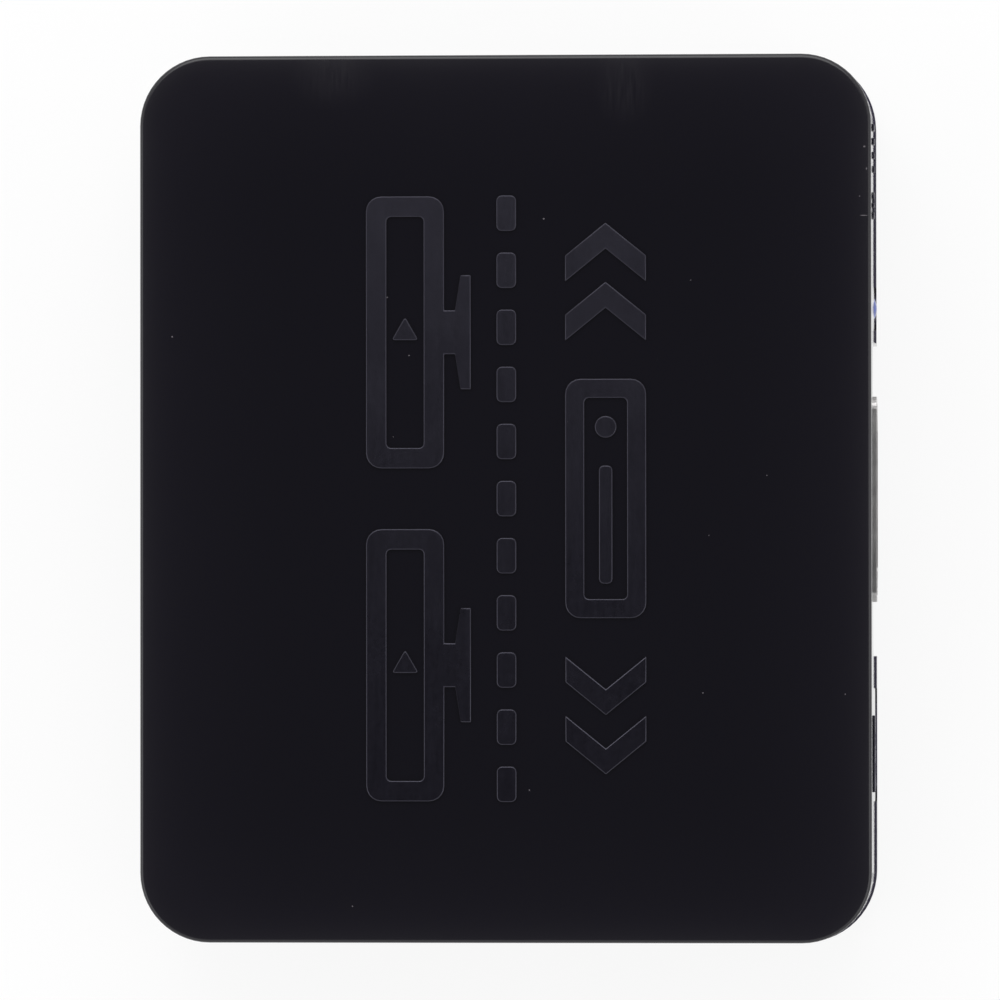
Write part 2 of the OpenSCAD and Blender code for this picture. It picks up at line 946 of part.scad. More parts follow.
// Moulded body with a small dot that marks the first lead
module chip_body(length, width, height) {
    dot = width / 16;
    difference() {
        translate([-length / 2, -width / 2, chip_lift])
            cube([length, width, height]);
        translate([3 * dot - length / 2, 3 * dot - width / 2, chip_lift + height - dot / 4])
            cylinder(r = dot, h = past);
    }
}

module splitter_chip() {
    color([0.06, 0.06, 0.07])
        on_board([0, 0])
            chip_body(splitter_size, splitter_size, splitter_height);
}

module splitter_chip_leads() {
    color([0.78, 0.78, 0.8])
        on_board([0, 0])
            for (turn = [0:90:270], i = [0:splitter_leads - 1])
                rotate(turn)
                    translate([splitter_size / 2, (i - (splitter_leads - 1) / 2) * splitter_pitch, 0])
                        chip_lead(chip_lift + splitter_height / 2, splitter_pitch / 2);
}

module memory_chip() {
    color([0.06, 0.06, 0.07])
        on_board(memory_place)
            chip_body(memory_length, memory_width, memory_height);
}

module memory_chip_leads() {
    color([0.78, 0.78, 0.8])
        on_board(memory_place)
            for (turn = [90, 270], i = [0:3])
                rotate(turn)
                    translate([memory_width / 2, (i - 1.5) * memory_pitch, 0])
                        chip_lead(chip_lift + memory_height / 2, memory_pitch / 3);
}

module regulator() {
    color([0.06, 0.06, 0.07])
        on_board(regulator_place)
            chip_body(regulator_length, regulator_width, regulator_height);
}

module regulator_leads() {
    color([0.78, 0.78, 0.8])
        on_board(regulator_place) {
            rotate(90)
                translate([regulator_width / 2, 0, 0])
                    chip_lead(chip_lift + regulator_height / 2, regulator_tab);
            rotate(270)
                for (i = [-1:1])
                    translate([regulator_width / 2, i * regulator_pitch, 0])
                        chip_lead(chip_lift + regulator_height / 2, regulator_pitch / 3);
        }
}

// Other parts on the board

module crystal() {
    color([0.75, 0.75, 0.77])
        on_board(crystal_place) {
            linear_extrude(crystal_flange)
                stadium(crystal_length + 2 * crystal_flange, crystal_width + 2 * crystal_flange);
            linear_extrude(crystal_height)
                stadium(crystal_length, crystal_width);
        }
}

module at_capacitors() {
    for (i = [0, 1])
        on_board(capacitor_place + [0, i * capacitor_pitch])
            children();
}

// Rolled aluminium can with a groove above its base
module capacitor_cans() {
    groove = capacitor_radius / 8;
    top = capacitor_height - capacitor_base;
    color([0.8, 0.8, 0.82])
        at_capacitors()
            translate([0, 0, capacitor_base])
                rotate_extrude()
                    polygon([
                        [0, 0],
                        [capacitor_radius, 0],
                        [capacitor_radius, groove],
                        [capacitor_radius - groove, 2 * groove],
                        [capacitor_radius, 3 * groove],
                        [capacitor_radius, top - groove],
                        [capacitor_radius - groove, top],
                        [0, top]
                    ]);
}

// Square base with two cut corners that mark the polarity
module capacitor_bases() {
    half = capacitor_radius + capacitor_rim;
    cut = capacitor_radius / 3;
    color([0.05, 0.05, 0.05])
        at_capacitors()
            linear_extrude(capacitor_base)
                polygon([
                    [-half, -half],
                    [half, -half],
                    [half, half - cut],
                    [half - cut, half],
                    [cut - half, half],
                    [-half, half - cut]
                ]);
}

module surge_arrays() {
    color([0.08, 0.08, 0.09])
        at_video_sockets()
            for (side = [-1, 1])
                translate([side * surge_pitch / 2, surge_y, surge_height / 2 - video_axis])
                    cube([surge_length, surge_width, surge_height], center = true);
}

// Two-ended chip part: a body between two slightly higher plated ends
module chip_part(length, width, height) {
    end = length / 5;
    translate([0, 0, height / 2 - height / 20])
        cube([length - end, width, height - height / 10], center = true);
    for (side = [-1, 1])
        translate([side * (length - end) / 2, 0, height / 2])
            cube([end, width, height], center = true);
}

module chip_capacitors() {
    color([0.65, 0.52, 0.38])
        for (side = [-1, 1], i = [0:capacitors_per_row - 1])
            on_board([(i - (capacitors_per_row - 1) / 2) * chip_pitch, side * capacitor_row])
                rotate(90)
                    chip_part(chip_length, chip_width, ceramic_height);
}

module chip_resistors() {
    color([0.1, 0.1, 0.11])
        for (side = [-1, 1], i = [0:resistors_per_row - 1], row = [0, 1])
            on_board([side * (resistor_start + i * chip_pitch), resistor_start - chip_pitch * (row + 1)])
                rotate(90)
                    chip_part(chip_length, chip_width, resistor_height);
}

module ferrite_bead() {
    color([0.3, 0.3, 0.32])
        on_board(bead_place)
            rotate(90)
                chip_part(bead_length, bead_width, bead_height);
}

top_cover();
bottom_cover();
case_screws();
main_board();
video_input_shell();
video_input_tongue();
video_input_contacts();
video_output_1_shell();
video_output_1_tongue();
video_output_1_contacts();
video_output_2_shell();
video_output_2_tongue();
video_output_2_contacts();
power_socket_shell();
power_socket_tongue();
power_socket_contacts();
status_lamp();
status_lamp_leads();
splitter_chip();
splitter_chip_leads();
memory_chip();
memory_chip_leads();
regulator();
regulator_leads();
crystal();
capacitor_cans();
capacitor_bases();
surge_arrays();
chip_capacitors();
chip_resistors();
ferrite_bead();
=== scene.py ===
import math

import bmesh
import bpy
from mathutils import Matrix, Vector


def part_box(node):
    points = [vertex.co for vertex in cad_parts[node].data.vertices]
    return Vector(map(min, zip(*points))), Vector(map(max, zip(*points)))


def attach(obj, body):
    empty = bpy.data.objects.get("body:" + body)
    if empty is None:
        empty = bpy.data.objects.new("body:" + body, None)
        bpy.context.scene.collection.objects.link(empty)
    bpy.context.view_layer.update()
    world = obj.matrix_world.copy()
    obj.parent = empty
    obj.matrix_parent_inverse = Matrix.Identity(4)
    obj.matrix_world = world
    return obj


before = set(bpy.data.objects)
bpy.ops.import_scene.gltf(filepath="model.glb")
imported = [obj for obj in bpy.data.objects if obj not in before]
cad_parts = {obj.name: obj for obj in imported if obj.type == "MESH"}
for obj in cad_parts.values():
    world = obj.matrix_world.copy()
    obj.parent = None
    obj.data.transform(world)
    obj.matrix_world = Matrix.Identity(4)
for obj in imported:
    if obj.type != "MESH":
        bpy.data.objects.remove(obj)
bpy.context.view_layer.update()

# The object's sizes are in millimetres, times MM; the studio's are in metres
MM = 0.001

# The raised marks: rise over the face, depth below it, round of their edges
TOP_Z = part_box("top_cover")[1][2]
MARK_RISE = 0.20 * MM
MARK_SINK = 0.06 * MM
MARK_EDGE = 0.08 * MM
MARK_EDGE_ANGLE = math.radians(50)
FRAME_OUTER = 1.1
FRAME_INNER = 0.35

# Limits for joining points, picking edges by place and picking faces by direction
WELD = 0.001 * MM
NEAR = 0.05
FLAT = 0.99


# Modelling helpers

def select_nothing(mode="VERT"):
    """Clears the selection in the mesh that is being edited."""
    bpy.ops.mesh.select_mode(type=mode)
    bpy.ops.mesh.select_all(action="DESELECT")


def start_plate(name, length, width, x=0.0, y=0.0):
    """A flat plate lying at z = 0, left open in edit mode with all of it selected."""
    bpy.ops.object.select_all(action="DESELECT")
    bpy.ops.mesh.primitive_plane_add(size=1.0, location=(x * MM, y * MM, 0.0))
    plate = bpy.context.object
    plate.name = name
    plate.data.name = name
    bpy.ops.transform.resize(value=(length * MM, width * MM, 1.0))
    bpy.ops.object.transform_apply(location=True, rotation=True, scale=True)
    bpy.ops.object.mode_set(mode="EDIT")
    bpy.ops.mesh.select_mode(type="VERT")
    bpy.ops.mesh.select_all(action="SELECT")
    return plate


def pick_edges(plate, test):
    """Selects the edges whose middle, in millimetres, passes the test."""
    select_nothing("EDGE")
    mesh = bmesh.from_edit_mesh(plate.data)
    for edge in mesh.edges:
        middle = (edge.verts[0].co + edge.verts[1].co) / 2
        edge.select_set(test(middle / MM))
    bmesh.update_edit_mesh(plate.data)


def pick_flat_faces(plate):
    """Selects the faces that look straight up or down."""
    select_nothing("FACE")
    mesh = bmesh.from_edit_mesh(plate.data)
    for face in mesh.faces:
        face.select_set(abs(face.normal.z) > FLAT)
    bmesh.update_edit_mesh(plate.data)


def round_corners(radius, segments=5):
    """Rounds the corners of the selected plate."""
    bpy.ops.mesh.bevel(offset=radius * MM, segments=segments, affect="VERTICES")


def add_plate(length, width, x, y):
    """Another flat plate in the mesh that is being edited, alone selected."""
    select_nothing()
    place = (x * MM, y * MM, 0.0)
    bpy.ops.mesh.primitive_plane_add(size=MM, location=place)
    bpy.ops.transform.resize(value=(length, width, 1.0), center_override=place)


def add_disc(corners, radius, x, y, turn=0.0):
    """A flat disc with so many corners in the mesh that is being edited, alone selected."""
    select_nothing()
    bpy.ops.mesh.primitive_circle_add(vertices=corners, radius=radius * MM, fill_type="NGON",
                                      location=(x * MM, y * MM, 0.0), rotation=(0, 0, turn))


def extrude(x, y):
    """Draws the selected edges out by a step in the plane of the plate."""
    bpy.ops.mesh.extrude_region_move(TRANSFORM_OT_translate={"value": (x * MM, y * MM, 0)})


def start_frame(name, length, width, stroke, x, y):
    """A flat frame bridged between two rounded outlines, left open in edit mode."""
    plate = start_plate(name, length, width, x, y)
    round_corners(FRAME_OUTER)
    add_plate(length - 2 * stroke, width - 2 * stroke, x, y)
    round_corners(FRAME_INNER)
    bpy.ops.mesh.select_all(action="SELECT")
    bpy.ops.mesh.delete(type="ONLY_FACE")
    bpy.ops.mesh.select_all(action="SELECT")
    bpy.ops.mesh.bridge_edge_loops()
    return plate


def run_modifier(piece, kind, **settings):
    """Adds a modifier with its settings and applies it."""
    bpy.context.view_layer.objects.active = piece
    modifier = piece.modifiers.new(kind.title(), kind)
    for key, value in settings.items():
        setattr(modifier, key, value)
    bpy.ops.object.modifier_apply(modifier=modifier.name)


def repeat(piece, count, pitch):
    """Copies a finished mark along X, each copy one pitch further."""
    run_modifier(piece, "ARRAY", count=count, use_relative_offset=False,
                 use_constant_offset=True, constant_offset_displace=(pitch * MM, 0, 0))


def raise_mark(plate, rise=MARK_RISE):
    """Gives the flat plate its thickness, a fine rounded edge and even normals."""
    bpy.ops.mesh.select_all(action="SELECT")
    bpy.ops.mesh.remove_doubles(threshold=WELD)
    bpy.ops.mesh.normals_make_consistent(inside=False)
    bpy.ops.object.mode_set(mode="OBJECT")
    run_modifier(plate, "SOLIDIFY", thickness=rise + MARK_SINK, offset=1.0)
    run_modifier(plate, "BEVEL", width=MARK_EDGE, segments=2, limit_method="ANGLE",
                 angle_limit=MARK_EDGE_ANGLE)
    bpy.ops.object.shade_smooth()
    bpy.ops.object.mode_set(mode="EDIT")
    bpy.ops.mesh.select_all(action="SELECT")
    bpy.ops.mesh.normals_make_consistent(inside=False)
    pick_flat_faces(plate)
    bpy.ops.mesh.faces_shade_flat()
    bpy.ops.object.mode_set(mode="OBJECT")


def set_down(piece, place):
    """Moves a finished flat mark to its place and leaves the object at the origin."""
    bpy.ops.object.select_all(action="DESELECT")
    piece.select_set(True)
    bpy.context.view_layer.objects.active = piece
    piece.matrix_world = place
    bpy.ops.object.transform_apply(location=True, rotation=True, scale=True)


# Shader helpers

def add_node(tree, kind, inputs=None, **settings):
    """One shader node with its settings and unlinked input values."""
    node = tree.nodes.new(kind)
    for key, value in settings.items():
        setattr(node, key, value)
    for key, value in (inputs or {}).items():
        node.inputs[key].default_value = value
    return node


def join(tree, source, target):
    """Links an output socket to an input socket."""
    tree.links.new(source, target)


def feed(tree, node, values):
    """Fills a node's inputs in order: a socket is linked, anything else is the value."""
    for socket, value in zip(node.inputs, values):
        if isinstance(value, bpy.types.NodeSocket):
            join(tree, value, socket)
        else:
            socket.default_value = value


def calc(tree, operation, *values):
    """A small sum of two or three values or sockets."""
    node = add_node(tree, "ShaderNodeMath", operation=operation)
    feed(tree, node, values)
    return node.outputs["Value"]


def vector_calc(tree, operation, *values):
    """A small sum of vectors or sockets; only a length comes out as a single value."""
    node = add_node(tree, "ShaderNodeVectorMath", operation=operation)
    feed(tree, node, values)
    return node.outputs["Value" if operation == "LENGTH" else "Vector"]


def spread(tree, value, start, end, low=0.0, high=1.0, steps="LINEAR"):
    """Maps a value from one range to another and holds it there."""
    node = add_node(tree, "ShaderNodeMapRange", interpolation_type=steps)
    feed(tree, node, (value, start, end, low, high))
    return node.outputs["Result"]


def axis(tree, vector, letter):
    """The X, Y or Z of a vector."""
    parts = add_node(tree, "ShaderNodeSeparateXYZ")
    join(tree, vector, parts.inputs["Vector"])
    return parts.outputs[letter]


def mix_colours(tree, mask, first, second):
    """A colour between two, led by a mask; either may be a colour or a socket."""
    mix = add_node(tree, "ShaderNodeMix", data_type="RGBA")
    join(tree, mask, mix.inputs["Factor"])
    for key, value in (("A", first), ("B", second)):
        socket = [s for s in mix.inputs if s.name == key and s.type == "RGBA"][0]
        if isinstance(value, tuple):
            socket.default_value = (*value, 1.0)
        else:
            join(tree, value, socket)
    return [s for s in mix.outputs if s.type == "RGBA"][0]


# Effects that several finishes share

FLOAT = "NodeSocketFloat"
VECTOR = "NodeSocketVector"
ORIGIN = (0, 0, 0)


def new_group(name, inputs, outputs):
    """An empty shader group with named sockets, its input node and its output node."""
    tree = bpy.data.node_groups.new(name, "ShaderNodeTree")
    for socket, kind, value in inputs:
        item = tree.interface.new_socket(name=socket, in_out="INPUT", socket_type=kind)
        item.default_value = value
    for socket, kind in outputs:
        tree.interface.new_socket(name=socket, in_out="OUTPUT", socket_type=kind)
    return tree, tree.nodes.new("NodeGroupInput"), tree.nodes.new("NodeGroupOutput")


def make_haze_group():
    """Soft cloudy change between two values, as on a handled surface."""
    tree, given, result = new_group(
        "handling_haze",
        [("Vector", VECTOR, ORIGIN), ("Scale", FLOAT, 100.0),
         ("Low", FLOAT, 0.1), ("High", FLOAT, 0.2)],
        [("Value", FLOAT)])
    thin, dense = 0.35, 0.68
    noise = add_node(tree, "ShaderNodeTexNoise", {"Detail": 5.0, "Roughness": 0.6})
    join(tree, given.outputs["Vector"], noise.inputs["Vector"])
    join(tree, given.outputs["Scale"], noise.inputs["Scale"])
    value = spread(tree, noise.outputs["Fac"], thin, dense,
                   given.outputs["Low"], given.outputs["High"])
    join(tree, value, result.inputs["Value"])
    return tree


def make_grain_group():
    """Fine spark-eroded grain of a moulding tool."""
    tree, given, result = new_group(
        "moulded_grain",
        [("Vector", VECTOR, ORIGIN), ("Scale", FLOAT, 4000.0)],
        [("Height", FLOAT)])
    pit_share = 0.6
    pits = add_node(tree, "ShaderNodeTexVoronoi", feature="SMOOTH_F1")
    noise = add_node(tree, "ShaderNodeTexNoise", {"Detail": 3.0, "Roughness": 0.55})
    for texture in (pits, noise):
        join(tree, given.outputs["Vector"], texture.inputs["Vector"])
        join(tree, given.outputs["Scale"], texture.inputs["Scale"])
    height = calc(tree, "MULTIPLY_ADD", pits.outputs["Distance"], pit_share,
                  noise.outputs["Fac"])
    join(tree, height, result.inputs["Height"])
    return tree


def make_dust_group():
    """Sparse specks: one in a share of the cells, each of its own size."""
    tree, given, result = new_group(
        "dust_specks",
        [("Vector", VECTOR, ORIGIN), ("Scale", FLOAT, 400.0),
         ("Share", FLOAT, 0.05), ("Size", FLOAT, 0.12)],
        [("Mask", FLOAT)])
    cells = add_node(tree, "ShaderNodeTexVoronoi", feature="F1")
    split = add_node(tree, "ShaderNodeSeparateColor")
    join(tree, given.outputs["Vector"], cells.inputs["Vector"])
    join(tree, given.outputs["Scale"], cells.inputs["Scale"])
    join(tree, cells.outputs["Color"], split.inputs["Color"])
    chosen = calc(tree, "LESS_THAN", split.outputs["Red"], given.outputs["Share"])
    reach = calc(tree, "MULTIPLY", split.outputs["Green"], given.outputs["Size"])
    inside = calc(tree, "LESS_THAN", cells.outputs["Distance"], reach)
    join(tree, calc(tree, "MULTIPLY", chosen, inside), result.inputs["Mask"])
    return tree


def make_streak_group():
    """Fine streaks drawn out along one axis: rubbed plastic, rolled sheet, turned steel."""
    tree, given, result = new_group(
        "fine_streaks",
        [("Vector", VECTOR, ORIGIN), ("Stretch", VECTOR, (1, 1, 1)),
         ("Start", FLOAT, 0.5), ("End", FLOAT, 0.7)],
        [("Mask", FLOAT)])
    drawn = vector_calc(tree, "MULTIPLY", given.outputs["Vector"], given.outputs["Stretch"])
    noise = add_node(tree, "ShaderNodeTexNoise",
                     {"Scale": 1.0, "Detail": 4.0, "Roughness": 0.65})
    join(tree, drawn, noise.inputs["Vector"])
    mask = spread(tree, noise.outputs["Fac"], given.outputs["Start"], given.outputs["End"])
    join(tree, mask, result.inputs["Mask"])
    return tree


HAZE = make_haze_group()
GRAIN = make_grain_group()
DUST = make_dust_group()
STREAKS = make_streak_group()


def use_group(tree, group, vector, **values):
    """Places a shared group in a material with its own values and gives its one output."""
    node = add_node(tree, "ShaderNodeGroup", node_tree=group)
    join(tree, vector, node.inputs["Vector"])
    for key, value in values.items():
        node.inputs[key].default_value = value
    return node.outputs[0]


def start_material(name, **sockets):
    """A new material: its node tree, its shader and its object coordinates."""
    material = bpy.data.materials.new(name)
    material.use_nodes = True
    tree = material.node_tree
    shader = tree.nodes["Principled BSDF"]
    for key, value in sockets.items():
        shader.inputs[key.replace("_", " ")].default_value = value
    place = add_node(tree, "ShaderNodeTexCoord")
    return material, tree, shader, place.outputs["Object"]


def paint(tree, shader, colour, roughness):
    """Leads a colour and a roughness into the shader."""
    join(tree, colour, shader.inputs["Base Color"])
    join(tree, roughness, shader.inputs["Roughness"])


def bump(tree, shader, height, strength, depth):
    """Fine relief on the shader's normal, its depth in millimetres."""
    node = add_node(tree, "ShaderNodeBump", {"Strength": strength, "Distance": depth * MM})
    join(tree, height, node.inputs["Height"])
    join(tree, node.outputs["Normal"], shader.inputs["Normal"])


# Finishes of the case

# Rubbed patches, and nicks near the input wall's edge: place and reach on the top face
RUBS = [((30.2, -8.7), (3.6, 2.6)), ((30.8, 12.5), (2.8, 3.8))]
RUB_DEPTH, RUB_CORE = 3.0, 0.2
NICKS = [((25.5, -26.15), (0.07, 0.10)), ((23.9, -26.3), (0.10, 0.06)),
         ((20.5, -26.1), (0.04, 0.32)), ((21.9, -25.8), (0.05, 0.05))]
NICK_DEPTH, NICK_CORE = 0.3, 0.6

# Depths under the top face between which its handled look and its painted glare end
TOP_FINISH_END, TOP_FINISH_FULL = 0.7 * MM, 0.25 * MM

# Tones of the upper moulding
FACE_BLACK = (0.0036, 0.0032, 0.0058)
# Painted glare: the face is painted lighter towards its outline, in a wide soft band and a
# lighter narrow rim
PAINTED_GLARE_BLACK = (0.0065, 0.0058, 0.0094)
RIM_PAINTED_GLARE_BLACK = (0.0100, 0.0091, 0.0127)
RUBBED_BLACK = (0.0125, 0.0114, 0.0154)
SPECK_GREY = (0.12, 0.11, 0.12)
RUB_DULLING, RIM_DULLING = 0.12, 0.20

# Tones of the lower moulding, with painted light on its upward faces, and how far a face tilts to
# count as ledge or underside
WALL_BLACK = (0.0032, 0.0028, 0.0046)
UNDERSIDE_BLACK = (0.0070, 0.0066, 0.0082)
LEDGE_PAINTED_LIGHT_GREY = (0.060, 0.054, 0.085)
DUST_GREY = (0.16, 0.15, 0.15)
UNDERSIDE_DULLING = 0.34
TILT_START, TILT_FULL = 0.6, 0.95

# Tones of the raised marks with a painted highlight on their edges, and their roughness from one
# end of the face to the other
MARK_BLACK = (0.0014, 0.0012, 0.0022)
MARK_GREY = (0.0078, 0.0073, 0.0110)
MARK_EDGE_HIGHLIGHT_GREY = (0.017, 0.016, 0.022)
MARK_DUST_GREY = (0.10, 0.09, 0.10)
MARK_SHEEN = (0.80, 0.78, 1.0, 1.0)
MARK_SPAN = 22 * MM
SMOOTH_END, ROUGH_END = 0.23, 0.37
STREAK_SHARE, SAND_DULLING = 0.4, 0.035
SQUARE_ON = 0.94


def oval_mask(tree, vector, centre, reach, depth, core):
    """An oval patch of the top face: full over its core, gone at its reach."""
    middle = (centre[0] * MM, centre[1] * MM, TOP_Z)
    size = (reach[0] * MM, reach[1] * MM, depth * MM)
    apart = vector_calc(tree, "SUBTRACT", vector, middle)
    share = vector_calc(tree, "LENGTH", vector_calc(tree, "DIVIDE", apart, size))
    return spread(tree, share, 1.0, core, steps="SMOOTHSTEP")


def rim_mask(tree, vector, reach, power):
    """Grows over the top face towards its outline, from the given reach inside it."""
    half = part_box("top_cover")[1]
    inner = (half[0] - reach * MM, half[1] - reach * MM, 1.0)
    beyond = vector_calc(tree, "SUBTRACT", vector_calc(tree, "ABSOLUTE", vector), inner)
    outer = vector_calc(tree, "MAXIMUM", beyond, ORIGIN)
    share = calc(tree, "DIVIDE", vector_calc(tree, "LENGTH", outer), reach * MM)
    return calc(tree, "POWER", share, power)


def top_mask(tree, vector):
    """The top face and its edge, without the walls below."""
    height = axis(tree, vector, "Z")
    return spread(tree, height, TOP_Z - TOP_FINISH_END, TOP_Z - TOP_FINISH_FULL)


def edge_mask(tree):
    """The rounded and slanted faces between the flat faces of a raised mark."""
    facing = add_node(tree, "ShaderNodeNewGeometry")
    size = vector_calc(tree, "ABSOLUTE", facing.outputs["True Normal"])
    parts = add_node(tree, "ShaderNodeSeparateXYZ")
    join(tree, size, parts.inputs["Vector"])
    widest = calc(tree, "MAXIMUM", parts.outputs["X"], parts.outputs["Y"])
    widest = calc(tree, "MAXIMUM", widest, parts.outputs["Z"])
    return calc(tree, "LESS_THAN", widest, SQUARE_ON)


def cover_gloss():
    """High-gloss black moulding: painted glare that lightens it towards its outline, a rim dulled
    by handling, rubbed patches, light haze, nicks and specks.
    """
    material, tree, shader, place = start_material("cover_gloss_black")
    haze = use_group(tree, HAZE, place, Scale=70.0, Low=0.06, High=0.10)
    rub = use_group(tree, STREAKS, place, Stretch=(380, 4600, 420), Start=0.28, End=0.86)
    patches = [oval_mask(tree, place, centre, reach, RUB_DEPTH, RUB_CORE)
               for centre, reach in RUBS]
    rubbed = calc(tree, "MULTIPLY", rub, calc(tree, "ADD", *patches))
    specks = use_group(tree, DUST, place, Scale=700.0, Share=0.3, Size=0.045)
    for centre, reach in NICKS:
        nick = oval_mask(tree, place, centre, reach, NICK_DEPTH, NICK_CORE)
        specks = calc(tree, "MAXIMUM", specks, nick)
    upper = top_mask(tree, place)
    # Painted glare: the two masks below paint the face lighter towards its outline; the rim also
    # dulls the gloss
    rim = calc(tree, "MULTIPLY", rim_mask(tree, place, reach=5.2, power=4.0), upper)
    painted_glare_band = calc(tree, "MULTIPLY", rim_mask(tree, place, reach=12.0, power=2.0), upper)
    tone = mix_colours(tree, painted_glare_band, FACE_BLACK, PAINTED_GLARE_BLACK)
    tone = mix_colours(tree, rim, tone, RIM_PAINTED_GLARE_BLACK)
    tone = mix_colours(tree, rubbed, tone, RUBBED_BLACK)
    tone = mix_colours(tree, specks, tone, SPECK_GREY)
    rough = calc(tree, "MULTIPLY_ADD", rubbed, RUB_DULLING, haze)
    rough = calc(tree, "MULTIPLY_ADD", rim, RIM_DULLING, rough)
    paint(tree, shader, tone, rough)
    grain = use_group(tree, GRAIN, place, Scale=900.0)
    bump(tree, shader, grain, strength=0.02, depth=0.02)
    return material


def cover_lower():
    """The lower moulding: gloss walls, painted light that makes upward faces such as the parting
    ledge pale, and a spark-eroded underside.
    """
    material, tree, shader, place = start_material("cover_lower_black")
    haze = use_group(tree, HAZE, place, Scale=70.0, Low=0.09, High=0.15)
    dust = use_group(tree, DUST, place, Scale=420.0, Share=0.03, Size=0.10)
    facing = add_node(tree, "ShaderNodeNewGeometry")
    upward = axis(tree, facing.outputs["Normal"], "Z")
    under = spread(tree, upward, -TILT_START, -TILT_FULL)
    ledge = spread(tree, upward, TILT_START, TILT_FULL)
    tone = mix_colours(tree, under, WALL_BLACK, UNDERSIDE_BLACK)
    # Painted light: faces that look up, such as the parting ledge, are painted pale violet-grey
    # as if lit from above
    tone = mix_colours(tree, ledge, tone, LEDGE_PAINTED_LIGHT_GREY)
    tone = mix_colours(tree, dust, tone, DUST_GREY)
    paint(tree, shader, tone, calc(tree, "MULTIPLY_ADD", under, UNDERSIDE_DULLING, haze))
    grain = use_group(tree, GRAIN, place, Scale=3200.0)
    bump(tree, shader, calc(tree, "MULTIPLY", grain, under), strength=0.35, depth=0.03)
    return material


def mark_satin():
    """Raised marks: the same black, rubbed satin and sandy, smoother towards one end, with a
    painted highlight on their edges.
    """
    material, tree, shader, place = start_material("mark_satin_black", Specular_Tint=MARK_SHEEN)
    streaks = use_group(tree, STREAKS, place, Stretch=(260, 2600, 260), Start=0.35, End=0.75)
    haze = use_group(tree, HAZE, place, Scale=260.0, Low=-0.02, High=0.02)
    dust = use_group(tree, DUST, place, Scale=900.0, Share=0.03, Size=0.12)
    sand = use_group(tree, HAZE, place, Scale=2600.0, Low=0.15, High=0.45)
    along = spread(tree, axis(tree, place, "X"), -MARK_SPAN, MARK_SPAN, SMOOTH_END, ROUGH_END)
    pale = calc(tree, "MULTIPLY_ADD", streaks, STREAK_SHARE, sand)
    tone = mix_colours(tree, pale, MARK_BLACK, MARK_GREY)
    # Painted highlight: the rounded and slanted edge faces are painted lighter than the flat
    # faces
    tone = mix_colours(tree, edge_mask(tree), tone, MARK_EDGE_HIGHLIGHT_GREY)
    tone = mix_colours(tree, dust, tone, MARK_DUST_GREY)
    worn = calc(tree, "MULTIPLY_ADD", sand, SAND_DULLING, haze)
    paint(tree, shader, tone, calc(tree, "ADD", along, worn))
    grain = use_group(tree, GRAIN, place, Scale=5200.0)
    bump(tree, shader, grain, strength=0.18, depth=0.02)
    return material


# Finishes of the sockets, the board and the parts on it

BOARD_GREEN = (0.006, 0.052, 0.022)
COPPER_GREEN = (0.016, 0.105, 0.045)
LENS_BLUE = (0.050, 0.085, 0.36)
LENS_DEEP_BLUE = (0.010, 0.018, 0.12)
LENS_TIP_Y, LENS_BASE_Y = -26.7 * MM, -24.0 * MM
BLANK, LINE = (0, 0, 0, 1), (1, 1, 1, 1)


def metal(name, light, dark, dull, stretch):
    """Plated or rolled metal with streaks along its grain and cloudy dulling."""
    material, tree, shader, place = start_material(name, Metallic=1.0)
    streaks = use_group(tree, STREAKS, place, Stretch=stretch, Start=0.3, End=0.75)
    haze = use_group(tree, HAZE, place, Scale=500.0, Low=dull[0], High=dull[1])
    paint(tree, shader, mix_colours(tree, streaks, light, dark), haze)
    bump(tree, shader, streaks, strength=0.06, depth=0.01)
    return material


def moulded(name, first, second, dull, grain, relief):
    """Matt or satin moulded plastic, or fired ceramic, with grain and cloudy tone."""
    material, tree, shader, place = start_material(name)
    cloud = use_group(tree, HAZE, place, Scale=600.0, Low=0.0, High=1.0)
    haze = use_group(tree, HAZE, place, Scale=300.0, Low=dull[0], High=dull[1])
    paint(tree, shader, mix_colours(tree, cloud, first, second), haze)
    bump(tree, shader, use_group(tree, GRAIN, place, Scale=grain), strength=relief, depth=0.02)
    return material


def board_mask():
    """Green solder mask over copper runs on a woven laminate."""
    material, tree, shader, place = start_material("board_mask_green")
    runs = add_node(tree, "ShaderNodeTexBrick",
                    {"Scale": 260.0, "Mortar Size": 0.03,
                     "Color1": BLANK, "Color2": BLANK, "Mortar": LINE})
    join(tree, place, runs.inputs["Vector"])
    haze = use_group(tree, HAZE, place, Scale=300.0, Low=0.25, High=0.4)
    paint(tree, shader, mix_colours(tree, runs.outputs["Color"], BOARD_GREEN, COPPER_GREEN), haze)
    weave = use_group(tree, GRAIN, place, Scale=2400.0)
    bump(tree, shader, weave, strength=0.1, depth=0.02)
    return material


def lamp_lens():
    """Tinted clear lens, unlit, a little deeper in colour towards its base."""
    material, tree, shader, place = start_material("lamp_lens_blue", IOR=1.54)
    depth = spread(tree, axis(tree, place, "Y"), LENS_TIP_Y, LENS_BASE_Y)
    haze = use_group(tree, HAZE, place, Scale=500.0, Low=0.06, High=0.14)
    paint(tree, shader, mix_colours(tree, depth, LENS_BLUE, LENS_DEEP_BLUE), haze)
    return material


